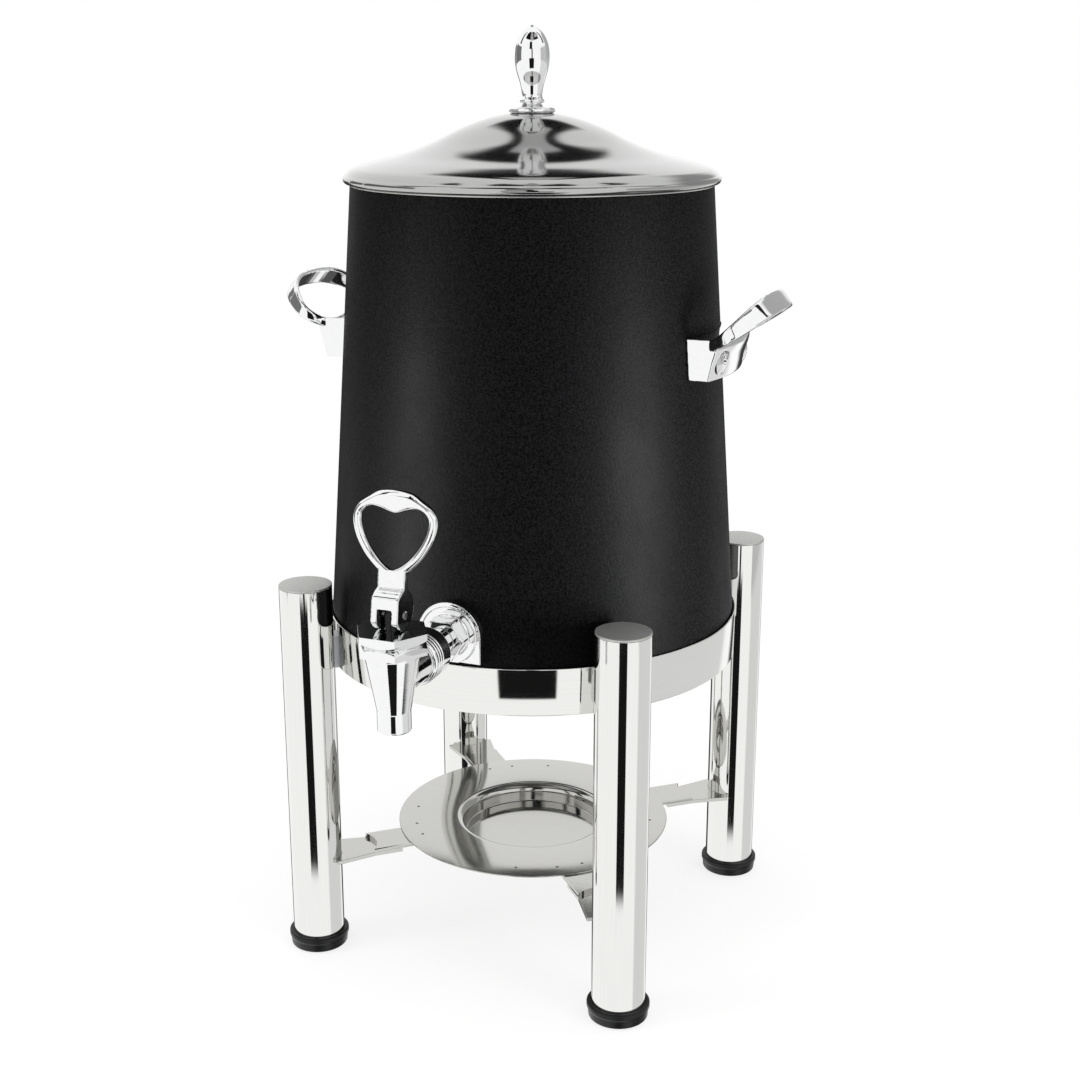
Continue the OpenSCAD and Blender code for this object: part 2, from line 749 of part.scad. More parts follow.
// The grip: a strap that leaves the foot's ends upright and narrow, and that widens, rises and leans
// back towards its tip
module handle_grip() {
    sides = 12;
    root_x = body_r(handle_top_z) + handle_foot_t - grip_inset;
    root_z = handle_top_z - grip_root_w / 2;
    plan = grip_plan();
    path = curve(concat(
        [for (p = plan) [p[0], -p[1]]],
        [for (i = [len(plan) - 2:-1:0]) plan[i]]
    ), 3);
    last = len(path) - 1;
    rise = [for (p = path) pow(max(0, p[0]), 1.2)];
    middle = [for (i = [0:last])
        [root_x + grip_reach * path[i][0], path[i][1], root_z + grip_reach * tan(grip_rise) * rise[i]]];
    points = [for (i = [0:last]) let (
            along = middle[min(i + 1, last)] - middle[max(i - 1, 0)],
            across = [
                -grip_w * sin(grip_lean) * max(0, path[i][0]), 0,
                grip_root_w + (grip_w * cos(grip_lean) - grip_root_w) * rise[i]
            ],
            square = cross(along, across),
            half_t = grip_t / 2 * square / norm(square)
        ) for (j = [0:sides - 1]) let (a = 360 * (j + 0.5) / sides)
            middle[i] + across / 2 * rounded(cos(a), 0.35) + half_t * rounded(sin(a), 0.5)];
    polyhedron(points, tube_faces(last + 1, sides, false));
}

// A coordinate of a circle pushed outwards by a power, which squares the circle
function rounded(x, power) = sign(x) * pow(abs(x), power);

// The strip inside the jacket that takes the handle's screws
module handle_plate(side) {
    color("dimgray") on_side(side) difference() {
        intersection() {
            translate([0, -handle_w / 2, handle_z - handle_plate_h / 2])
                cube([huge, handle_w, handle_plate_h]);
            body_cone(-jacket_t - rest_gap);
        }
        body_cone(-jacket_t - handle_plate_t);
        for (s = [-1, 1]) translate([0, s * handle_screw_pitch / 2, handle_z])
            x_rod(handle_screw_r, 0, body_bottom_r);
    }
}

// The two domed screws of a handle
module handle_screws(side) {
    color("silver") on_side(side) for (s = [-1, 1])
        translate([0, s * handle_screw_pitch / 2, handle_z]) {
            translate([handle_seat_x, 0, 0]) x_dome(handle_head_r, handle_head_h);
            x_rod(handle_screw_r - run_play, liner_r + 3, handle_seat_x + 0.5);
        }
}

// ---- Tap ----

// The arched plate that covers the hole round the shank, with two turned steps on its face
module tap_cover() {
    color("silver") difference() {
        intersection() {
            translate([0, 0, shank_z]) union() {
                y_rod(cover_r, cover_y, cover_y + cover_depth);
                translate([-cover_r, cover_y, -cover_r]) cube([2 * cover_r, cover_depth, cover_r]);
                y_rod(cover_r - 3, cover_y - cover_step, cover_y);
                y_rod(cover_r - 8, cover_y - 2 * cover_step, cover_y);
            }
            translate([-huge / 2, -huge, ring_top_z + cover_gap]) cube([huge, huge, huge]);
        }
        body_cone(0);
        translate([0, 0, shank_z]) y_rod(shank_r + screw_play, tap_y, 0);
    }
}

// The threaded tube that carries the coffee from the liner to the tap
module shank() {
    color("silver") translate([0, 0, shank_z]) difference() {
        y_rod(shank_r, neck_y, -liner_r + liner_t + 13);
        y_rod(shank_bore_r, neck_y - cut, 0);
    }
}

// The bush that keeps liner and jacket apart round the shank
module shank_sleeve() {
    color("gray") difference() {
        intersection() {
            translate([0, 0, shank_z]) y_rod(shank_r + 4, -body_bottom_r, -liner_r / 2);
            body_cone(-jacket_t);
        }
        translate([0, 0, body_z]) cylinder(r = liner_r, h = body_h);
        translate([0, 0, shank_z]) y_rod(shank_r + screw_play, tap_y, 0);
    }
}

// The rubber gasket between the liner's inner face and the nut
module shank_gasket() {
    color("black") difference() {
        intersection() {
            translate([0, 0, shank_z]) y_rod(shank_r + 3.5, -liner_r, -liner_r + liner_t + 4);
            translate([0, 0, body_z]) cylinder(r = liner_r - liner_t, h = body_h, $fn = 720);
        }
        translate([0, 0, shank_z]) y_rod(shank_r + run_play, tap_y, 0);
    }
}

// The hexagonal nut inside the liner
module shank_nut() {
    face_y = -liner_r + liner_t + 4;
    color("gainsboro") translate([0, 0, shank_z]) difference() {
        y_hex(2 * shank_r + 7, face_y, face_y + 6);
        y_rod(shank_r + run_play, face_y - cut, face_y + 6 + cut);
    }
}

// The hexagonal nut that clamps the cover plate against the jacket
module shank_locknut() {
    color("silver") translate([0, 0, shank_z]) difference() {
        intersection() {
            y_hex(locknut_flats, locknut_y - locknut_t, locknut_y);
            y_rod(locknut_flats / 2 + 1.6, locknut_y - locknut_t, locknut_y);
        }
        y_rod(shank_r + run_play, locknut_y - locknut_t - cut, locknut_y + cut);
    }
}

// The round nut that draws the tap's neck against the shank, grooved near its front
module union_nut() {
    round_r = 2;
    round_x = union_r - round_r;
    length = union_back_y - union_front_y;
    groove_r = 0.8;
    color("silver") translate([0, union_back_y, shank_z]) rotate([90, 0, 0]) difference() {
        rotate_extrude() difference() {
            polygon(concat(
                [[0, 0]],
                [for (a = [-90:30:0]) [round_x + round_r * cos(a), round_r + round_r * sin(a)]],
                [for (a = [0:30:90]) [round_x + round_r * cos(a), length - round_r + round_r * sin(a)]],
                [[0, length]]
            ));
            for (k = [1:3]) translate([union_r + 0.2, length - 1 - 3 * k]) circle(r = groove_r, $fn = 16);
        }
        translate([0, 0, -cut]) cylinder(r = shank_r + run_play, h = length + 2 * cut);
        translate([0, 0, union_back_y - neck_y]) cylinder(r = neck_r + run_play, h = length);
    }
}

// The tap's body: a tapered spout with a straight tip, and the neck that meets the shank
module tap_body() {
    chamber_top_z = bonnet_z - bonnet_plug_h - chamber_rise;
    color("silver") difference() {
        union() {
            translate([0, tap_y, 0]) rotate_extrude() polygon(concat(
                [[0, tip_z], [tip_r - tip_edge_r, tip_z], [tip_r, tip_z + tip_edge_r], [tip_r, spout_z]],
                [[tap_top_r, collar_z], [tap_top_r, bonnet_z], [0, bonnet_z]]
            ));
            translate([0, 0, shank_z]) y_rod(neck_r, tap_y, neck_y);
            translate([0, 0, shank_z]) y_rod(neck_collar_r, tap_y, union_front_y - rest_gap);
        }
        translate([0, tap_y, 0]) {
            translate([0, 0, tip_z - cut]) cylinder(r = tip_r - tip_wall, h = seat_z - tip_z + 2 * cut);
            translate([0, 0, seat_z])
                cylinder(r1 = chamber_r, r2 = bonnet_plug_r, h = chamber_top_z - seat_z);
            translate([0, 0, chamber_top_z - rest_gap])
                cylinder(r = bonnet_plug_r + run_play, h = bonnet_z - chamber_top_z + rest_gap + cut);
        }
        translate([0, 0, shank_z]) y_rod(shank_bore_r, tap_y, neck_y + cut);
    }
}

// The hexagonal bonnet that closes the tap's chamber and guides the valve post
module tap_bonnet() {
    flat_r = bonnet_corner_r * cos(30);
    groove_z = bonnet_z + bonnet_h / 2;
    groove_w = 1.7;
    color("silver") translate([0, tap_y, 0]) difference() {
        union() {
            translate([0, 0, bonnet_z]) cylinder(r = bonnet_corner_r, h = bonnet_h, $fn = 6);
            translate([0, 0, bonnet_z - bonnet_plug_h])
                cylinder(r = bonnet_plug_r, h = bonnet_plug_h + cut);
        }
        rotate_extrude() polygon([
            [flat_r - bonnet_groove, groove_z],
            [bonnet_corner_r + cut, groove_z + groove_w + 1.5],
            [bonnet_corner_r + cut, groove_z - groove_w - 1.5]
        ]);
        translate([0, 0, bonnet_z - bonnet_plug_h - cut])
            cylinder(r = post_r + run_play, h = bonnet_plug_h + bonnet_h + 2 * cut);
    }
}

// The sealing washer under the bonnet, in which the spindle slides
module stem_seal() {
    color("black") translate([0, tap_y, spring_top_z]) difference() {
        cylinder(r = bonnet_plug_r - 1, h = seal_t);
        translate([0, 0, -cut]) cylinder(r = spindle_r + run_play, h = seal_t + 2 * cut);
    }
}

// ---- Lever and valve ----

// The black post: it carries the lever's pin above the bonnet and the seat cup below
module valve_post() {
    step_z = spring_top_z + seal_t + lift * 0.3;
    color([0.08, 0.08, 0.08]) translate([0, tap_y, 0]) difference() {
        union() {
            translate([0, 0, step_z]) cylinder(r = post_r, h = pin_z - step_z);
            translate([0, 0, pin_z]) sphere(r = post_r);
            translate([0, 0, seat_z + cup_h]) cylinder(r = spindle_r, h = step_z - seat_z - cup_h + cut);
            translate([0, 0, seat_z + cup_h]) cylinder(r = cup_r - 1, h = spring_bottom_z - seat_z - cup_h);
            translate([0, 0, seat_z + 2]) cylinder(r = spindle_r, h = cup_h - 2 + cut);
        }
        translate([0, 0, pin_z]) x_rod(pin_r + 0.02, -2 * post_r, 2 * post_r);
    }
}

// The rubber cup that closes the outlet
module seat_cup() {
    color("black") translate([0, tap_y, seat_z]) difference() {
        cylinder(r = cup_r, h = cup_h);
        translate([0, 0, 2]) cylinder(r = spindle_r + run_play, h = cup_h);
    }
}

// The pin on which the lever turns
module lever_pin() {
    color("gray") translate([0, tap_y, pin_z]) x_rod(pin_r, -lever_w / 2 - 0.6, lever_w / 2 + 0.6);
}

// The spring that holds the cup on its seat
module valve_spring() {
    sides = 8;
    steps = 20;
    rings = spring_turns * steps + 1;
    low_z = spring_bottom_z + spring_wire_r + 0.1;
    high_z = spring_top_z - spring_wire_r - 0.1;
    pitch = (high_z - low_z) / (rings - 1);
    points = [for (i = [0:rings - 1], j = [0:sides - 1])
        let (turn = 360 * i / steps, a = 360 * j / sides, r = spring_r + spring_wire_r * cos(a))
            [r * cos(turn), r * sin(turn), low_z + pitch * i + spring_wire_r * sin(a)]];
    color("gray") translate([0, tap_y, 0]) polyhedron(points, tube_faces(rings, sides, false));
}

// The heart's outer outline from the stem's edge round one side to the middle of its top
function heart_outer() = [
    [0.376, -0.006], [0.527, 0.074], [0.683, 0.17], [0.81, 0.277], [0.91, 0.385], [0.98, 0.511],
    [1, 0.63], [0.958, 0.717], [0.855, 0.798], [0.741, 0.848], [0.6, 0.9], [0.465, 0.952], [0.338, 0.98],
    [0.138, 0.996], [0, 1]
];

// The heart's inner outline, with one point facing each point of the outer outline
function heart_inner() = [
    [0, 0], [0.138, 0.03], [0.317, 0.106], [0.493, 0.214], [0.641, 0.337], [0.741, 0.457],
    [0.797, 0.575], [0.79, 0.669], [0.717, 0.729], [0.607, 0.766], [0.479, 0.774], [0.317, 0.755],
    [0.186, 0.729], [0.07, 0.707], [0, 0.699]
];

// Half of the heart swept as a tube: each ring spans the two outlines at facing points
module heart_half() {
    fine = 3;
    sides = 12;
    size = [heart_w / 2, heart_h];
    outer = curve([for (p = heart_outer()) [p[0] * size[0], p[1] * size[1]]], fine);
    inner = curve([for (p = heart_inner()) [p[0] * size[0], p[1] * size[1]]], fine);
    rings = len(outer);
    points = [for (i = [0:rings - 1]) let (
            middle = (outer[i] + inner[i]) / 2,
            half = (outer[i] - inner[i]) / 2,
            share = max(0, (middle[1] / heart_h - 0.68) / 0.2),
            depth = heart_side + (finger_rest - heart_side) * min(1, share)
        ) for (j = [0:sides - 1]) let (a = 360 * j / sides, across = middle + half * cos(a))
            [across[0], depth * sin(a), across[1]]];
    polyhedron(points, tube_faces(rings, sides, false));
}

// The lever: a round forked heel, a flat stem and the heart-shaped grip, all one casting
module tap_lever() {
    slot_w = 2 * (post_r + rest_gap);
    slot_top = post_r + 0.8;
    color("silver") translate([0, tap_y, pin_z]) difference() {
        rotate([-lever_lean, 0, 0]) union() {
            translate([0, 0, heel_offset]) heel_disc();
            translate([-lever_w / 2, -stem_t / 2, 0]) cube([lever_w, stem_t, stem_h]);
            translate([0, 0, stem_h]) {
                heart_half();
                mirror([1, 0, 0]) heart_half();
            }
        }
        translate([-slot_w / 2, -2 * heel_r, -2 * heel_r])
            cube([slot_w, 4 * heel_r, 2 * heel_r + slot_top]);
        x_rod(pin_r + run_play, -lever_w, lever_w);
    }
}

// The heel: a disc with a flat on its front, which runs up into the stem in a concave cove
module heel_disc() {
    cove_r = 3.8;
    cove_y = -stem_t / 2 - cove_r + 0.8;
    cove_z = heel_r + cove_r - 0.8;
    intersection() {
        x_rod(heel_r, -lever_w / 2, lever_w / 2);
        translate([-lever_w, -heel_front, -2 * heel_r]) cube([2 * lever_w, 4 * heel_r, 4 * heel_r]);
    }
    difference() {
        translate([-lever_w / 2, cove_y, 0]) cube([lever_w, -cove_y, cove_z]);
        translate([0, cove_y, cove_z]) x_rod(cove_r, -lever_w, lever_w);
    }
}

for (i = [0:3]) {
    pillar(i);
    pillar_cap(i);
    foot(i);
    ring_spacer(i);
    brace_tab(i);
}
stand_ring();
ring_ledge();
ring_screws();
brace_spider();
brace_screws();
fuel_tray();
turned() body_jacket();
turned() body_base();
turned() liner();
turned() tap_cover();
turned() shank();
turned() shank_sleeve();
turned() shank_gasket();
turned() shank_nut();
turned() shank_locknut();
turned() union_nut();
turned() tap_body();
turned() tap_bonnet();
turned() stem_seal();
for (side = [0, 1]) {
    turned() handle(side);
    turned() handle_plate(side);
    turned() handle_screws(side);
}
turned() lid_dome();
turned() lid_skirt();
turned() finial();
turned() finial_stud();
turned() finial_washer();
turned() valve_post();
turned() seat_cup();
turned() lever_pin();
turned() valve_spring();
turned() tap_lever();
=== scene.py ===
import json
import math

import bmesh
import bpy
from mathutils import Matrix, Vector


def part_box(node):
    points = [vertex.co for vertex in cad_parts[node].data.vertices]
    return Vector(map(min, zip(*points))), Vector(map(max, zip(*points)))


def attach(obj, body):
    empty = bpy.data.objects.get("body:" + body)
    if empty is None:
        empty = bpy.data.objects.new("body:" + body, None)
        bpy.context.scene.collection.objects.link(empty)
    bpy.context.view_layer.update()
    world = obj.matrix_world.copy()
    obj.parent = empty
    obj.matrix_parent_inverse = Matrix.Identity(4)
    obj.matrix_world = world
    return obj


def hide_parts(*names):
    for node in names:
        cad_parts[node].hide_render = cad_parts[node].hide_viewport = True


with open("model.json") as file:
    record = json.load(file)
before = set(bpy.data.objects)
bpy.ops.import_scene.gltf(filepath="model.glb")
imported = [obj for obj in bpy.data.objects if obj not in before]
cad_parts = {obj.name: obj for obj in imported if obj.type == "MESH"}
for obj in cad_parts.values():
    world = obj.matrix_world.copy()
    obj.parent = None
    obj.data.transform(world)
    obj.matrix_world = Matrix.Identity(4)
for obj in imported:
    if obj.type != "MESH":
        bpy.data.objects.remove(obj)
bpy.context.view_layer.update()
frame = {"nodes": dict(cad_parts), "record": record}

# ---- Studio ----
# A white table in a white room, seen by one camera. Bright metal shows the room, which the world
# paints by direction: white walls, dark and grey screens that give the metal its bands, and a window.
MM = 0.001


def linear(code):
    """A colour written as sRGB hex, as the linear RGBA that Blender's sockets take."""
    parts = [int(code[i : i + 2], 16) / 255 for i in (1, 3, 5)]
    return [c / 12.92 if c <= 0.04045 else ((c + 0.055) / 1.055) ** 2.4 for c in parts] + [1]


def add(tree, kind, inputs=None, **settings):
    """Adds a node with its settings; an input is a value or the socket that feeds it."""
    node = tree.nodes.new(kind)
    for key, value in settings.items():
        setattr(node, key, value)
    for key, value in (inputs or {}).items():
        if isinstance(value, bpy.types.NodeSocket):
            tree.links.new(value, node.inputs[key])
        else:
            node.inputs[key].default_value = value
    return node


# The camera stands 1.2 m away, to the right of the tap, and looks down by 16 degrees
camera = bpy.data.objects.new("camera", bpy.data.cameras.new("camera"))
bpy.context.scene.collection.objects.link(camera)
bpy.context.scene.camera = camera
camera.data.lens = 54.41
camera.data.sensor_width = 36
camera.data.clip_start = 0.05
camera_azimuth = math.radians(24.65)
camera_pitch = math.radians(16.118)
camera.location = (0.4960, -1.0677, 0.6414)
camera.rotation_euler = (math.pi / 2 - camera_pitch, 0, camera_azimuth)
bpy.context.scene.view_settings.view_transform = "Standard"

# Parts of the room that aren't full white, as polished metal sees them: azimuth and elevation of
# the middle, half width, half height and softness of the edge, all in degrees, and the brightness.
# A later one covers an earlier one.
ROOM = [
    (33, -12, 33, 26, 8, 0.82),  # pale wall on the right
    (118, -17, 28, 10, 9, 0.05),  # dark wall far behind, low down
    (198, 4, 23, 13, 1, 0.20),  # grey screen on the left, for the knob
    (37, 3, 44, 12, 2, 0.62),  # pale screen on the right, for the knob
    (292, -16, 15, 8, 1.5, 0.01),  # black screen in front, for the bands of pillars and ring
    (295, 4, 3, 12, 1, 0.01),  # black stand above it, for the line on the knob
    (287, 27, 8, 11, 2, 0.012),  # black screen higher in front, for the tap
    (206, 44, 5, 20, 2, 0.02),  # black strips high on both sides
    (26, 46, 5, 20, 2, 0.02),
    (297, -56, 21, 20, 2, 0.01),  # dark floor in front, for faces that lean down
    (295, 62, 60, 16, 2, 0.01),  # dark ceiling in front, with a grey and a pale panel in it
    (295, 66, 13, 22, 2, 0.45),
    (345, 60, 22, 6, 2, 0.50),
    (114, 48, 10, 15, 4, 0.01),  # dark ceiling behind, with the window that the lid shows
    (114, 53, 6, 9, 0.8, 0.62),
    (66, 17, 20, 16, 12, 0.45),  # grey corner behind on the right, for the handle's strap
    (163, 2, 9, 9, 2, 0.20),  # grey screen behind on the left, for the other handle
    (60, -56, 60, 16, 4, 0.10),  # dark floor behind on the right
]
# The metal takes away some of the light, so the room's white lies a little above full white
WHITE = 1.15


def room_light(tree):
    """The brightness of the room in the direction of a reflected ray."""
    aim = add(tree, "ShaderNodeTexCoord").outputs["Generated"]
    part = add(tree, "ShaderNodeSeparateXYZ", {0: aim})
    azimuth = add(tree, "ShaderNodeMath", {0: part.outputs["Y"], 1: part.outputs["X"]},
                  operation="ARCTAN2")
    elevation = add(tree, "ShaderNodeMath", {0: part.outputs["Z"]}, operation="ARCSINE")
    level = WHITE
    for around, up, half_wide, half_high, soft, bright in ROOM:
        mask = None
        for angle, middle, half in ((azimuth, around, half_wide), (elevation, up, half_high)):
            off = add(tree, "ShaderNodeMath", {0: angle.outputs[0], 1: math.radians(middle)},
                      operation="SUBTRACT")
            turns = add(tree, "ShaderNodeMath", {0: off.outputs[0], 1: math.pi, 2: -math.pi},
                        operation="WRAP")
            away = add(tree, "ShaderNodeMath", {0: turns.outputs[0]}, operation="ABSOLUTE")
            near = add(tree, "ShaderNodeMapRange", {
                "Value": away.outputs[0], "From Min": math.radians(half),
                "From Max": math.radians(half + soft), "To Min": 1, "To Max": 0,
            }, interpolation_type="SMOOTHSTEP").outputs["Result"]
            mask = near if mask is None else add(
                tree, "ShaderNodeMath", {0: mask, 1: near}, operation="MULTIPLY").outputs[0]
        level = add(tree, "ShaderNodeMix", {"Factor": mask, 2: level, 3: bright}).outputs[0]
    return level


world = bpy.data.worlds.new("studio")
bpy.context.scene.world = world
world.use_nodes = True
sky = world.node_tree
sky.nodes.clear()
path = add(sky, "ShaderNodeLightPath").outputs
mirrored = add(sky, "ShaderNodeMath", {0: path["Is Glossy Ray"], 1: path["Is Transmission Ray"]},
               operation="MAXIMUM").outputs[0]
soft_light = 0.85  # what dull surfaces get from all around
room = add(sky, "ShaderNodeMix", {"Factor": mirrored, 2: soft_light, 3: room_light(sky)}).outputs[0]
seen = add(sky, "ShaderNodeMix", {"Factor": path["Is Camera Ray"], 2: room, 3: 1.0}).outputs[0]
background = add(sky, "ShaderNodeBackground", {"Color": (1, 1, 1, 1), "Strength": seen})
add(sky, "ShaderNodeOutputWorld", {"Surface": background.outputs[0]})


def lamp(name, size, power, place, target=(0, 0, 0.35)):
    """A soft box that lights the dull surfaces; the metal shows the room instead of it."""
    light = bpy.data.lights.new(name, "AREA")
    light.shape = "RECTANGLE"
    light.size, light.size_y = size
    light.energy = power
    box = bpy.data.objects.new(name, light)
    box.location = place
    box.rotation_euler = (Vector(target) - Vector(place)).to_track_quat("-Z", "Y").to_euler()
    box.visible_glossy = False
    bpy.context.scene.collection.objects.link(box)


lamp("lamp_left", (0.5, 1.4), 11, (-1.3, -1.2, 0.9))
lamp("lamp_right", (0.5, 1.4), 9, (1.7, -0.5, 0.9))
lamp("lamp_top", (1.2, 1.2), 8, (0.1, -0.2, 1.9))

# Two soft boxes, a metre away and low on either side, put a dull sheen on the black coat. Light
# linking keeps them off everything else.
coat_only = bpy.data.collections.new("black_coat")
sheen_height = 0.2
for side, aim_degrees, power in (("left", 228, 19), ("right", 353, 29)):
    aim = math.radians(aim_degrees)
    lamp("sheen_" + side, (0.24, 0.5), power, (math.cos(aim), math.sin(aim), sheen_height))
    sheen = bpy.data.objects["sheen_" + side]
    sheen.visible_glossy = True
    sheen.light_linking.receiver_collection = coat_only

floor_mesh = bpy.data.meshes.new("floor")
floor_half = 12
floor_mesh.from_pydata(
    [(x * floor_half, y * floor_half, 0) for x, y in ((-1, -1), (1, -1), (1, 1), (-1, 1))], [],
    [(0, 1, 2, 3)])
floor = bpy.data.objects.new("floor", floor_mesh)
bpy.context.scene.collection.objects.link(floor)
white_table = bpy.data.materials.new("white_table")
white_table.use_nodes = True
table = white_table.node_tree
table.nodes.clear()
# Most of the table's brightness is its own, so that it stays white and still takes a faint shadow
table_shade = add(table, "ShaderNodeBsdfDiffuse", {"Color": linear("#FFFFFF")})
table_glow = add(table, "ShaderNodeEmission", {"Strength": 1.0})
away = add(table, "ShaderNodeVectorMath", {0: add(table, "ShaderNodeTexCoord").outputs["Object"]},
           operation="LENGTH").outputs["Value"]
shadow_near, shadow_far, shadow_strength = 0.2, 0.7, 0.22
shadow_part = add(table, "ShaderNodeMapRange", {
    "Value": away, "From Min": shadow_near, "From Max": shadow_far, "To Min": shadow_strength,
    "To Max": 0}, interpolation_type="SMOOTHSTEP").outputs["Result"]
table_mix = add(table, "ShaderNodeMixShader", {
    "Fac": shadow_part, 1: table_glow.outputs[0], 2: table_shade.outputs[0]})
# Only the camera sees that; light that bounces off the table takes it as a plain near white
table_plain = add(table, "ShaderNodeBsdfDiffuse", {"Color": linear("#F2F2F2")})
table_seen = add(table, "ShaderNodeMixShader", {
    "Fac": add(table, "ShaderNodeLightPath").outputs["Is Camera Ray"],
    1: table_plain.outputs[0], 2: table_mix.outputs[0]})
add(table, "ShaderNodeOutputMaterial", {"Surface": table_seen.outputs[0]})
floor_mesh.materials.append(white_table)
floor.visible_glossy = False

# ---- Pillars ----
# Four stainless steel tubes, 38 mm across, polished lengthwise to a mirror. A flat steel disc is
# pressed into the top of each, so that a hairline runs round just under the top edge.
CORNERS = ("back_right", "back_left", "front_left", "front_right")


def rounded(corners, steps=4, closed=True):
    """An outline of (across, up, radius) corners, each rounded by an arc of its own radius."""
    line = []
    count = len(corners)
    for i, (x, y, radius) in enumerate(corners):
        here = Vector((x, y))
        if radius == 0 or (not closed and i in (0, count - 1)):
            line.append(here)
            continue
        before = (Vector(corners[i - 1][:2]) - here).normalized()
        after = (Vector(corners[(i + 1) % count][:2]) - here).normalized()
        half = before.angle(after) / 2
        centre = here + (before + after).normalized() * radius / math.sin(half)
        start = here + before * radius / math.tan(half) - centre
        turn = start.angle_signed(here + after * radius / math.tan(half) - centre)
        for k in range(steps + 1):
            line.append(centre + Matrix.Rotation(-turn * k / steps, 2) @ start)
    return line


def finished(bm, name, sharp=40):
    """A mesh with its faces outwards, smooth but for edges sharper than an angle."""
    bmesh.ops.remove_doubles(bm, verts=bm.verts, dist=1e-7)
    bmesh.ops.recalc_face_normals(bm, faces=bm.faces)
    mesh = bpy.data.meshes.new(name)
    bm.to_mesh(mesh)
    bm.free()
    mesh.shade_smooth()
    mesh.set_sharp_from_angle(angle=math.radians(sharp))
    return mesh


def turned(name, outline, place=(0, 0, 0), segments=96, closed=True, sharp=40):
    """A turned form: an outline of (radius, height) spun about an upright axis. An open outline
    starts and ends on the axis."""
    bm = bmesh.new()
    rings = []
    for radius, height in outline:
        if radius < 1e-7:
            rings.append([bm.verts.new((0, 0, height))] * segments)
        else:
            rings.append([bm.verts.new((radius * math.cos(a), radius * math.sin(a), height))
                          for a in (2 * math.pi * k / segments for k in range(segments))])
    pairs = list(zip(rings, rings[1:])) + ([(rings[-1], rings[0])] if closed else [])
    for low, high in pairs:
        for k in range(segments):
            m = (k + 1) % segments
            corners = list(dict.fromkeys((low[k], low[m], high[m], high[k])))
            if len(corners) > 2:
                bm.faces.new(corners)
    bmesh.ops.translate(bm, verts=bm.verts, vec=place)
    return finished(bm, name, sharp)


def plain_mesh(owner):
    """Applies an object's modifiers to its mesh."""
    bpy.context.view_layer.update()
    seen_owner = owner.evaluated_get(bpy.context.evaluated_depsgraph_get())
    mesh = bpy.data.meshes.new_from_object(seen_owner)
    owner.modifiers.clear()
    mesh.name = owner.name
    return mesh


def piece(name, mesh, material, body, slot, *nodes):
    """Sets a mesh in the scene as a piece that rides on a body in the place of its CAD nodes."""
    owner = bpy.data.objects.new(name, mesh)
    bpy.context.scene.collection.objects.link(owner)
    mesh.materials.clear()
    mesh.materials.append(material)
    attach(owner, body)
    if nodes:
        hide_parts(*nodes)
    return owner


def copies_tree(name):
    """A tree that sets copies of a piece evenly round the upright axis."""
    tree = bpy.data.node_groups.new(name, "GeometryNodeTree")
    face = tree.interface
    for socket, kind in (("Geometry", "NodeSocketGeometry"), ("Count", "NodeSocketInt"),
                         ("First Angle", "NodeSocketFloat"), ("Material", "NodeSocketMaterial")):
        face.new_socket(name=socket, in_out="INPUT", socket_type=kind)
    face.new_socket(name="Geometry", in_out="OUTPUT", socket_type="NodeSocketGeometry")
    given = add(tree, "NodeGroupInput").outputs
    step = add(tree, "ShaderNodeMath", {0: 2 * math.pi, 1: given["Count"]}, operation="DIVIDE")
    angle = add(tree, "ShaderNodeMath", {
        0: add(tree, "GeometryNodeInputIndex").outputs[0], 1: step.outputs[0],
        2: given["First Angle"]}, operation="MULTIPLY_ADD")
    turn = add(tree, "FunctionNodeEulerToRotation", {
        0: add(tree, "ShaderNodeCombineXYZ", {"Z": angle.outputs[0]}).outputs[0]})
    points = add(tree, "GeometryNodePoints", {"Count": given["Count"]})
    spread = add(tree, "GeometryNodeInstanceOnPoints", {
        "Points": points.outputs[0], "Instance": given["Geometry"], "Rotation": turn.outputs[0]})
    real = add(tree, "GeometryNodeRealizeInstances", {0: spread.outputs[0]})
    coated = add(tree, "GeometryNodeSetMaterial", {
        "Geometry": real.outputs[0], "Material": given["Material"]})
    add(tree, "NodeGroupOutput", {0: coated.outputs[0]})
    return tree


round_the_axis = copies_tree("copies_round_the_axis")


def copies(name, mesh, material, count=4, first=math.radians(45)):
    """Copies of a piece that lies along +X, set round the stand's axis as one plain mesh."""
    owner = bpy.data.objects.new(name, mesh)
    bpy.context.scene.collection.objects.link(owner)
    rule = owner.modifiers.new("copies", "NODES")
    rule.node_group = round_the_axis
    given = {item.name: item.identifier for item in round_the_axis.interface.items_tree
             if item.in_out == "INPUT"}
    rule[given["Count"]] = count
    rule[given["First Angle"]] = first
    rule[given["Material"]] = material
    made = plain_mesh(owner)
    bpy.data.objects.remove(owner)
    return made


def new_material(name):
    """An empty material and its tree."""
    material = bpy.data.materials.new(name)
    material.use_nodes = True
    material.node_tree.nodes.clear()
    return material, material.node_tree


def grain(tree, size_mm, detail=3, rough=0.6):
    """Noise on Object coordinates whose features have a size in mm along X, Y and Z."""
    place = add(tree, "ShaderNodeTexCoord").outputs["Object"]
    fit = add(tree, "ShaderNodeMapping", {
        "Vector": place, "Scale": [1 / (s * MM) for s in size_mm]})
    return add(tree, "ShaderNodeTexNoise", {
        "Vector": fit.outputs[0], "Scale": 1.0, "Detail": detail, "Roughness": rough}).outputs["Fac"]


def between(tree, value, low, high, start=0.3, end=0.7):
    """A noise value spread over a range of results."""
    return add(tree, "ShaderNodeMapRange", {
        "Value": value, "From Min": start, "From Max": end, "To Min": low, "To Max": high,
    }).outputs["Result"]


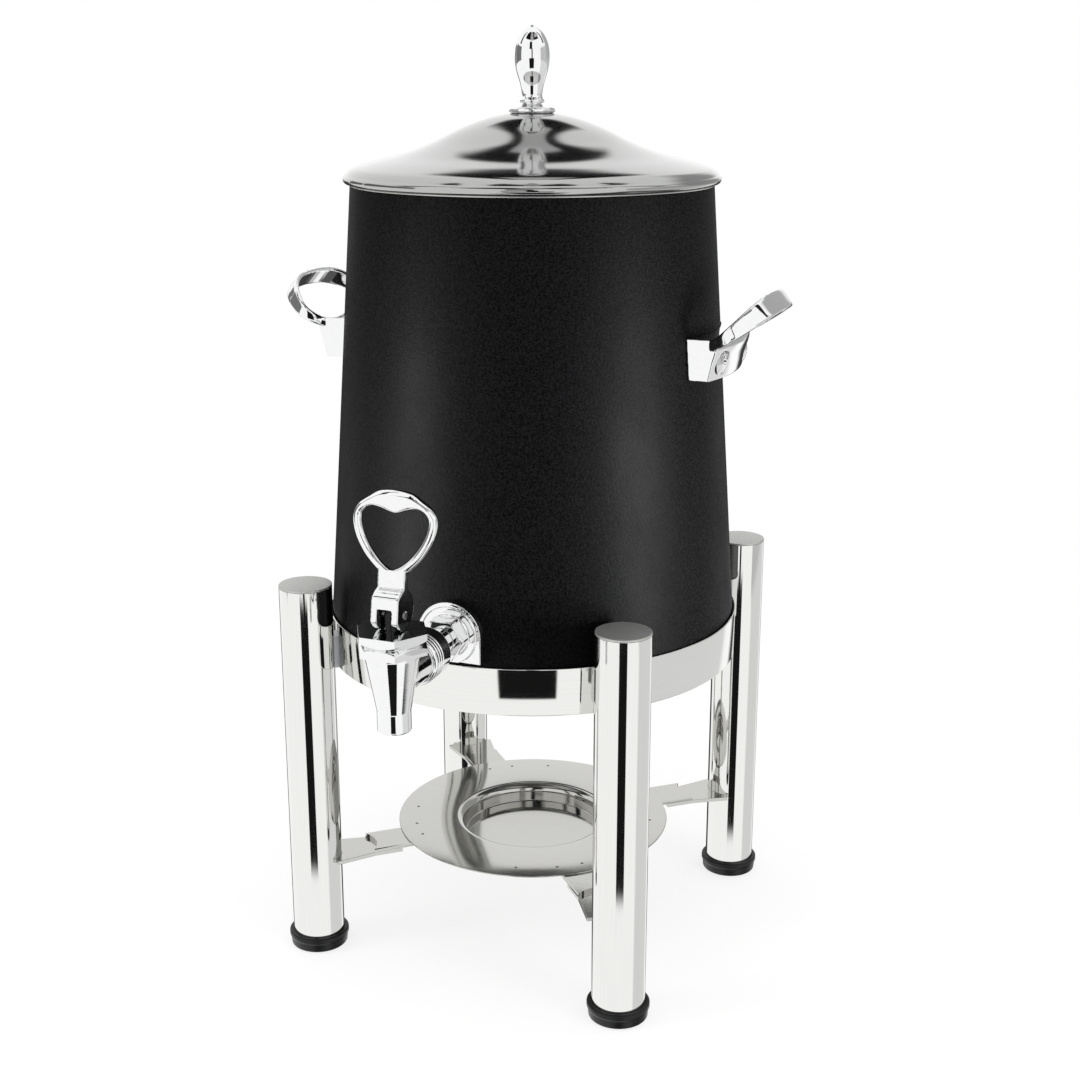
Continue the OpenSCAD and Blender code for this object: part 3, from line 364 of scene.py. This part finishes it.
def relief(tree, height, depth_mm, below=None):
    """A bump of a real depth, on top of a coarser one."""
    inputs = {"Height": height, "Distance": depth_mm * MM, "Strength": 1.0}
    if below is not None:
        inputs["Normal"] = below
    return add(tree, "ShaderNodeBump", inputs).outputs["Normal"]


def polished_metal(name, colour, shine, lines_mm, wave_mm, wave_depth, line_depth=0.0):
    """Polished metal: fine polishing lines vary its shine, and it is very slightly wavy."""
    material, tree = new_material(name)
    lines = grain(tree, lines_mm)
    tone = add(tree, "ShaderNodeMix", {
        "Factor": lines, 6: linear(colour[0]), 7: linear(colour[1])}, data_type="RGBA")
    normal = relief(tree, grain(tree, wave_mm, 1), wave_depth)
    if line_depth:
        normal = relief(tree, lines, line_depth, normal)
    metal = add(tree, "ShaderNodeBsdfPrincipled", {
        "Base Color": tone.outputs[2], "Metallic": 1.0, "Roughness": between(tree, lines, *shine),
        "Normal": normal})
    add(tree, "ShaderNodeOutputMaterial", {"Surface": metal.outputs[0]})
    return material


# Stainless steel polished to a mirror: it shows the room nearly undimmed, a touch warm, and its
# lengthwise polishing lines only soften the edges of what it shows
mirror_steel = polished_metal(
    "stainless_steel_mirror_polished", ("#DADAD7", "#E6E6E4"), shine=(0.02, 0.07),
    lines_mm=(0.5, 0.5, 60), wave_mm=(30, 30, 160), wave_depth=0.035)

pillar_low, pillar_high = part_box("pillar_front_right")
cap_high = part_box("pillar_cap_front_right")[1]
pillar_r = (pillar_high.x - pillar_low.x) / 2
pillar_reach = (pillar_low.x + pillar_high.x) / 2 * math.sqrt(2)
pillar_wall = 1.5 * MM
edge_r = 0.5 * MM
hairline = 0.12 * MM
pillar_sides = 128
tube = turned("pillars", rounded([
    (pillar_r, pillar_low.z, 0), (pillar_r, pillar_high.z - hairline, edge_r / 3),
    (pillar_r - pillar_wall, pillar_high.z - hairline, 0), (pillar_r - pillar_wall, pillar_low.z, 0),
]), (pillar_reach, 0, 0), segments=pillar_sides)
piece("pillars", copies("pillars", tube, mirror_steel), mirror_steel, "stand", "mirror_steel",
      *["pillar_" + c for c in CORNERS])
cap_t = cap_high.z - pillar_high.z
plug_r = pillar_r - pillar_wall - 0.1 * MM
plug_h = 8 * MM
cap = turned("pillar_caps", rounded([
    (0, cap_high.z, 0), (pillar_r, cap_high.z, edge_r), (pillar_r, cap_high.z - cap_t, edge_r / 3),
    (plug_r, cap_high.z - cap_t, 0), (plug_r, cap_high.z - cap_t - plug_h, 0),
    (0, cap_high.z - cap_t - plug_h, 0)], closed=False), (pillar_reach, 0, 0),
    segments=pillar_sides, closed=False)
# The discs are ground flat and only buffed, so they show a soft even grey
buffed_steel = polished_metal(
    "stainless_steel_buffed", ("#C8C8C5", "#D6D6D3"), shine=(0.5, 0.62), lines_mm=(0.6, 8, 0.6),
    wave_mm=(20, 20, 20), wave_depth=0.02)
piece("pillar_caps", copies("pillar_caps", cap, buffed_steel), buffed_steel, "stand", "mirror_steel",
      *["pillar_cap_" + c for c in CORNERS])

# ---- Feet ----
# Four black rubber cups moulded over the pillar ends. A proud lip runs round the top of each, and
# the moulded skin is dull with a faint bloom.


def dull_black(name, colour, rough, skin_mm, skin_depth):
    """Dark rubber or nylon with a fine moulded skin."""
    material, tree = new_material(name)
    skin = grain(tree, (skin_mm,) * 3, 2)
    bloom = grain(tree, (9, 9, 9), 2)
    tone = add(tree, "ShaderNodeMix", {
        "Factor": bloom, 6: linear(colour[0]), 7: linear(colour[1])}, data_type="RGBA")
    body = add(tree, "ShaderNodeBsdfPrincipled", {
        "Base Color": tone.outputs[2], "Roughness": between(tree, bloom, *rough), "IOR": 1.52,
        "Specular IOR Level": 0.3,
        "Normal": relief(tree, skin, skin_depth)})
    add(tree, "ShaderNodeOutputMaterial", {"Surface": body.outputs[0]})
    return material


black_rubber = dull_black(
    "black_rubber_moulded", ("#050606", "#0D0E0E"), rough=(0.3, 0.42), skin_mm=0.5, skin_depth=0.03)
foot_low, foot_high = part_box("foot_front_right")
foot_r = (foot_high.x - foot_low.x) / 2
sole_r = foot_r - 3.6 * MM
heel_r, heel_z = foot_r - 1.3 * MM, 1.2 * MM
waist_r, waist_z = foot_r - 0.8 * MM, 7 * MM
lip_z = 8.4 * MM
cup_r = pillar_r + 0.06 * MM
foot = turned("feet", rounded([
    (0, 0, 0), (sole_r, 0, 0.4 * MM), (heel_r, heel_z, 1.2 * MM), (waist_r, waist_z, 1.5 * MM),
    (foot_r, lip_z, 0.8 * MM), (foot_r, foot_high.z, 1.1 * MM), (cup_r, foot_high.z, 0.5 * MM),
    (cup_r, pillar_low.z, 0), (0, pillar_low.z, 0)], closed=False), (pillar_reach, 0, 0),
    closed=False)
piece("feet", copies("feet", foot, black_rubber), black_rubber, "stand", "black_rubber",
      *["foot_" + c for c in CORNERS])

# ---- Stand ring ----
# A band of 1.5 mm stainless steel, rolled round and mirror polished. Its cut edges are eased, so a
# thin bright line runs along the top. A flat ledge inside it carries the urn.
ring_low, ring_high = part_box("stand_ring")
ring_t = 1.5 * MM
band = turned("stand_ring", rounded([
    (ring_high.x - ring_t, ring_low.z, edge_r), (ring_high.x, ring_low.z, edge_r),
    (ring_high.x, ring_high.z, edge_r), (ring_high.x - ring_t, ring_high.z, edge_r)]), segments=256)
# Rolled and then polished along its length, it shows the room nearly undimmed, with fine lines
ring_steel = polished_metal(
    "stainless_steel_rolled_mirror", ("#DADAD7", "#E6E6E4"), shine=(0.02, 0.07),
    lines_mm=(60, 60, 0.5), wave_mm=(60, 60, 40), wave_depth=0.03)
piece("stand_ring", band, ring_steel, "stand", "mirror_steel", "stand_ring")

# Zinc plating over plain steel is a bluish grey with a satin shine
plain_steel = polished_metal(
    "steel_zinc_plated", ("#8E9092", "#A9ABAD"), shine=(0.28, 0.42), lines_mm=(1.2, 1.2, 1.2),
    wave_mm=(6, 6, 6), wave_depth=0.02, line_depth=0.004)


def edged_copy(name, nodes, bevel_mm, sharp=40):
    """CAD solids with a small bevel along each edge."""
    bm = bmesh.new()
    for node in nodes:
        bm.from_mesh(frame["nodes"][node].data)
    bmesh.ops.remove_doubles(bm, verts=bm.verts, dist=2e-6)
    bmesh.ops.dissolve_limit(bm, angle_limit=math.radians(0.4), verts=bm.verts, edges=bm.edges)
    owner = bpy.data.objects.new(name, finished(bm, name, sharp))
    bpy.context.scene.collection.objects.link(owner)
    bevel = owner.modifiers.new("bevel", "BEVEL")
    bevel.width = bevel_mm * MM
    bevel.segments = 2
    bevel.limit_method = "ANGLE"
    bevel.angle_limit = math.radians(sharp)
    bevel.harden_normals = True
    made = plain_mesh(owner)
    bpy.data.objects.remove(owner)
    return made


piece("ring_spacers", edged_copy("ring_spacers", ["ring_spacer_" + c for c in CORNERS], bevel_mm=0.3),
      plain_steel, "stand", "plain_steel", *["ring_spacer_" + c for c in CORNERS])

# ---- Brace and fuel tray ----
# The tray is pressed from bright rolled sheet, with a rounded well for a fuel can. It is spot
# welded to a four-armed plate, and each arm lies on a tab that is welded to its pillar.
# Bright rolled sheet shows the room softly, drawn out by the fine lines that the rolls leave
bright_sheet = polished_metal(
    "stainless_steel_bright_rolled", ("#B4B4B0", "#C4C3C0"), shine=(0.06, 0.13),
    lines_mm=(50, 0.35, 50), wave_mm=(70, 70, 70), wave_depth=0.05, line_depth=0.0015)
piece("brace_spider", edged_copy("brace_spider", ["brace_spider"], bevel_mm=0.35), bright_sheet,
      "stand", "bright_steel", "brace_spider")
piece("brace_tabs", edged_copy("brace_tabs", ["brace_tab_" + c for c in CORNERS], bevel_mm=0.35),
      bright_sheet, "stand", "bright_steel", *["brace_tab_" + c for c in CORNERS])
tray_low, tray_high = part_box("fuel_tray")
tray_t = 1.2 * MM
lip_r = 7 * MM
well_wall = 54.5 * MM
well_fillet = 1.0 * MM
floor_z = tray_low.z + tray_t
tray = turned("fuel_tray", rounded([
    (0, floor_z, 0), (well_wall - tray_t, floor_z, well_fillet),
    (well_wall - tray_t, tray_high.z, lip_r), (tray_high.x, tray_high.z, edge_r),
    (tray_high.x, tray_high.z - tray_t, edge_r), (well_wall, tray_high.z - tray_t, lip_r - tray_t),
    (well_wall, floor_z - tray_t, well_fillet + tray_t), (0, floor_z - tray_t, 0)],
    steps=8, closed=False), segments=192, closed=False)
piece("fuel_tray", tray, bright_sheet, "stand", "bright_steel", "fuel_tray")
weld_r = 1.3 * MM
weld_proud = 0.12 * MM
weld_deep = 0.3 * MM
weld_reach = 92 * MM
weld_mark = turned("spot_welds", rounded([
    (0, tray_high.z + weld_proud, 0), (1.1 * MM, tray_high.z + 0.10 * MM, 0.3 * MM),
    (weld_r, tray_high.z - weld_deep, 0), (0, tray_high.z - weld_deep, 0)], closed=False),
    (weld_reach, 0, 0), segments=16, closed=False)
# The heat of the weld leaves each spot a dull brownish grey
heat_tinted = polished_metal(
    "steel_spot_weld", ("#4A4845", "#6B6864"), shine=(0.3, 0.4), lines_mm=(0.5, 0.5, 0.5),
    wave_mm=(3, 3, 3), wave_depth=0.01)
# Three sets of four, each set turned by so many degrees from the arms
weld_turns = [math.radians(45 + a) for a in (-9, 3, 62)]
welds = bmesh.new()
for weld_turn in weld_turns:
    welds.from_mesh(copies("spot_welds", weld_mark, heat_tinted, first=weld_turn))
piece("spot_welds", finished(welds, "spot_welds"), heat_tinted, "stand", "bright_steel")

# ---- Body ----
# A tapered jacket of steel sheet, powder coated a matte black that the oven leaves finely grained,
# round a straight pot of satin stainless steel.
powder_coat, coat = new_material("powder_coat_matte_black")
# The real grain is finer than a picture shows, so it is drawn 1.4 mm wide
grain_mm = 1.4
speck = grain(coat, (grain_mm,) * 3, 2)
cloud = grain(coat, (35, 35, 60), 2)
coat_tone = add(coat, "ShaderNodeMix", {
    "Factor": between(coat, speck, 0, 1, start=0.35, end=0.65), 6: linear("#000000"),
    7: linear("#0C0C0D")}, data_type="RGBA")
# The grain scatters nearly all that a smooth coat would mirror, so its mirrored part is kept weak
coat_body = add(coat, "ShaderNodeBsdfPrincipled", {
    "Base Color": coat_tone.outputs[2], "Roughness": between(coat, cloud, 0.44, 0.52), "IOR": 1.5,
    "Specular IOR Level": 0.035,
    "Normal": relief(coat, speck, depth_mm=0.14)})
add(coat, "ShaderNodeOutputMaterial", {"Surface": coat_body.outputs[0]})
jacket_low, jacket_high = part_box("body_jacket")
jacket_t = 1.2 * MM
rim_gap = 0.2 * MM
jacket_top_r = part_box("liner")[1].x - rim_gap
jacket = turned("body_jacket", rounded([
    (jacket_high.x - jacket_t, jacket_low.z, edge_r), (jacket_high.x, jacket_low.z, edge_r),
    (jacket_top_r, jacket_high.z, edge_r), (jacket_top_r - jacket_t, jacket_high.z, edge_r)]),
    segments=256)
coat_only.objects.link(piece("body_jacket", jacket, powder_coat, "urn", "black_paint", "body_jacket"))

# ---- Lid ----
# A dome spun from stainless steel sheet, with its rim rolled round. It is polished on the lathe, so
# it shows the room a little blurred along fine rings. A turned ring under it drops into the pot.
lid_low, lid_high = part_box("lid_dome")
bead_r = 3.1 * MM
bead_z = lid_low.z + bead_r
dome_h = lid_high.z - bead_z
lid_t = 1.0 * MM
seat_r = 17.2 * MM


def smooth_line(points, steps=6):
    """A smooth open curve through (across, up) points."""
    points = [Vector(p) for p in points]
    line = []
    for i in range(len(points) - 1):
        a, b, c = points[max(i - 1, 0)], points[i], points[i + 1]
        d = points[min(i + 2, len(points) - 1)]
        for k in range(steps):
            t = k / steps
            line.append(0.5 * (2 * b + (c - a) * t + (2 * a - 5 * b + 4 * c - d) * t * t
                               + (3 * b - a - 3 * c + d) * t * t * t))
    return line + [points[-1]]


def bead_point(angle):
    """A point on the rolled rim, at an angle from level outwards."""
    return (lid_high.x - bead_r + bead_r * math.cos(angle), bead_z + bead_r * math.sin(angle))


# The dome's curve, from the knob's seat out to the rim, as shares of its radius and of its height
dome_top = smooth_line([(seat_r, lid_high.z)] + [
    (share * lid_high.x, bead_z + rise * dome_h)
    for share, rise in ((0.24, 0.925), (0.38, 0.77), (0.53, 0.55), (0.68, 0.385), (0.83, 0.272),
                        (0.93, 0.185), (0.965, 0.13))] + [bead_point(math.radians(65))], steps=8)
roll = [bead_point(math.radians(a)) for a in range(55, -235, -10)]
dome_under = [Vector((r, z - lid_t)) for r, z in reversed(dome_top[:-8])]
dome = turned("lid_dome", [
    (0, lid_high.z), *dome_top, *roll, *dome_under, (0, lid_high.z - lid_t)], segments=256,
    closed=False)
lid_steel, lathe = new_material("stainless_steel_lathe_polished")
out = add(lathe, "ShaderNodeVectorMath", {0: add(lathe, "ShaderNodeMapping", {
    "Vector": add(lathe, "ShaderNodeTexCoord").outputs["Object"], "Scale": (1, 1, 0)}).outputs[0]},
    operation="LENGTH").outputs["Value"]
ring_mm = 0.45
rings_out = add(lathe, "ShaderNodeMath", {0: out, 1: 1 / (ring_mm * MM)}, operation="MULTIPLY")
lines = add(lathe, "ShaderNodeTexNoise", {
    "W": rings_out.outputs[0], "Scale": 1.0, "Detail": 3}, noise_dimensions="1D").outputs["Fac"]
lid_metal = add(lathe, "ShaderNodeBsdfPrincipled", {
    "Base Color": linear("#AFB0AE"), "Metallic": 1.0, "Roughness": between(lathe, lines, 0.07, 0.13),
    "Normal": relief(lathe, lines, depth_mm=0.0012)})
add(lathe, "ShaderNodeOutputMaterial", {"Surface": lid_metal.outputs[0]})
piece("lid_dome", dome, lid_steel, "lid", "lid_steel", "lid_dome")

# ---- Knob ----
# One piece of turned and chromed steel: a flange, a neck with a bead and a tall drop. A stud and a
# washer hold it to the dome from inside.

# Bright chrome plate mirrors the room sharply; the buffing under it leaves slight ripples
chrome = polished_metal(
    "chrome_plate_on_casting", ("#E2E3E3", "#ECECEC"), shine=(0.015, 0.045), lines_mm=(3, 3, 3),
    wave_mm=(9, 9, 9), wave_depth=0.03)
knob_low, knob_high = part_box("finial")
knob_h = knob_high.z - knob_low.z
flange_r = (knob_high.x - knob_low.x) / 2
flange_t = 4.4 * MM
neck_r = 7.2 * MM
drop_r = 12.4 * MM
flange_round = flange_t * 0.49
skirt_foot = (neck_r + 3 * MM, flange_t + 0.2 * MM)
neck_bead_r = 1.6 * MM
neck_bead_z = flange_t + 4.2 * MM
flange = rounded([(0, 0, 0), (flange_r, 0, flange_round), (flange_r, flange_t, flange_round),
                  (*skirt_foot, 0)], steps=6, closed=False)
knob_line = smooth_line([
    skirt_foot, (neck_r, flange_t + 1.6 * MM), (neck_r - 0.6 * MM, flange_t + 2.7 * MM)], steps=5) + [
    Vector((neck_r - 0.2 * MM + neck_bead_r * math.cos(a), neck_bead_z + neck_bead_r * math.sin(a)))
    for a in (math.radians(d) for d in range(-60, 61, 15))] + smooth_line([
        (neck_r, flange_t + 7.5 * MM), (neck_r, flange_t + 9 * MM), (neck_r * 1.16, knob_h * 0.34),
        (drop_r * 0.9, knob_h * 0.5), (drop_r, knob_h * 0.65), (drop_r * 0.92, knob_h * 0.79),
        (drop_r * 0.64, knob_h * 0.91), (drop_r * 0.24, knob_h * 0.98), (0, knob_h)])
knob = turned("finial", flange + knob_line, (0, 0, knob_low.z), closed=False, sharp=60)
piece("finial", knob, chrome, "lid", "lid_steel", "finial")

# ---- Handles ----
# Two zinc castings, chromed bright: a foot that follows the jacket, and a flat strap that loops out
# and up from its ends. Two domed screws hold each from outside.


def cast_copy(name, nodes, voxel_mm, passes):
    """CAD solids as one casting: finely remeshed and eased, so that each edge has a small round."""
    bm = bmesh.new()
    for node in nodes:
        bm.from_mesh(frame["nodes"][node].data)
    bmesh.ops.remove_doubles(bm, verts=bm.verts, dist=2e-6)
    owner = bpy.data.objects.new(name, finished(bm, name))
    bpy.context.scene.collection.objects.link(owner)
    grid = owner.modifiers.new("grid", "REMESH")
    grid.mode = "VOXEL"
    grid.voxel_size = voxel_mm * MM
    ease = owner.modifiers.new("ease", "SMOOTH")
    ease.factor = 0.5
    ease.iterations = passes
    made = plain_mesh(owner)
    made.shade_smooth()
    bpy.data.objects.remove(owner)
    return made


for side in ("right", "left"):
    piece("handle_" + side, cast_copy("handle_" + side, ["handle_" + side], voxel_mm=0.6, passes=12),
          chrome, "urn", "chrome_plate", "handle_" + side)

# ---- Tap ----
# A chromed brass tap on a threaded tube: an arched cover plate, nuts, a tapered spout and a
# hexagonal bonnet.
piece("tap_cover", cast_copy("tap_cover", ["tap_cover"], voxel_mm=0.35, passes=6), chrome, "urn",
      "chrome_plate", "tap_cover")
piece("tap_body", cast_copy("tap_body", ["tap_body"], voxel_mm=0.4, passes=5), chrome, "urn",
      "chrome_plate", "tap_body")
for nut in ("tap_bonnet", "shank_locknut", "union_nut"):
    piece(nut, edged_copy(nut, [nut], bevel_mm=0.4, sharp=30), chrome, "urn", "chrome_plate", nut)

# ---- Valve ----
# The black nylon post slides through the bonnet and carries the lever's pin; a rubber cup at its
# lower end closes the outlet.
# Turned nylon is black with a waxy shine
black_nylon = dull_black(
    "black_nylon_turned", ("#070707", "#101010"), rough=(0.2, 0.3), skin_mm=0.3, skin_depth=0.01)
piece("valve_post", edged_copy("valve_post", ["valve_post"], bevel_mm=0.3), black_nylon,
      "valve_stem", "black_nylon", "valve_post")

# ---- Lever ----
# One chromed casting: a round forked heel that turns on the post's pin, a short stem and a
# heart-shaped ring to pull.
piece("tap_lever", cast_copy("tap_lever", ["tap_lever"], voxel_mm=0.4, passes=24), chrome, "lever",
      "chrome_plate", "tap_lever")

# ---- Inner pieces ----
# Screws, seals, spring, liner and washers keep their CAD solids. Each takes the finish of its slot
# in the record: zinc-plated, satin or polished steel, soft rubber or chrome.
# Satin steel shows the room as a blurred grey, streaked along the brushing
satin_steel = polished_metal(
    "stainless_steel_satin", ("#B4B3B0", "#C6C5C2"), shine=(0.2, 0.34), lines_mm=(40, 40, 0.4),
    wave_mm=(30, 30, 30), wave_depth=0.03, line_depth=0.002)
# Soft rubber is a dull near black
seal_rubber = dull_black(
    "seal_rubber_soft", ("#141414", "#1E1E1E"), rough=(0.55, 0.65), skin_mm=0.4, skin_depth=0.02)
finishes = {
    "plain_steel": plain_steel, "satin_steel": satin_steel, "seal_rubber": seal_rubber,
    "lid_steel": lid_steel, "chrome_plate": chrome, "bright_steel": bright_sheet,
    "mirror_steel": mirror_steel, "black_rubber": black_rubber, "black_nylon": black_nylon,
    "black_paint": powder_coat,
}
for part in frame["record"]["subparts"]:
    solid = frame["nodes"][part["node"]]
    solid.data.materials.clear()
    solid.data.materials.append(finishes[part["material_slot"]])
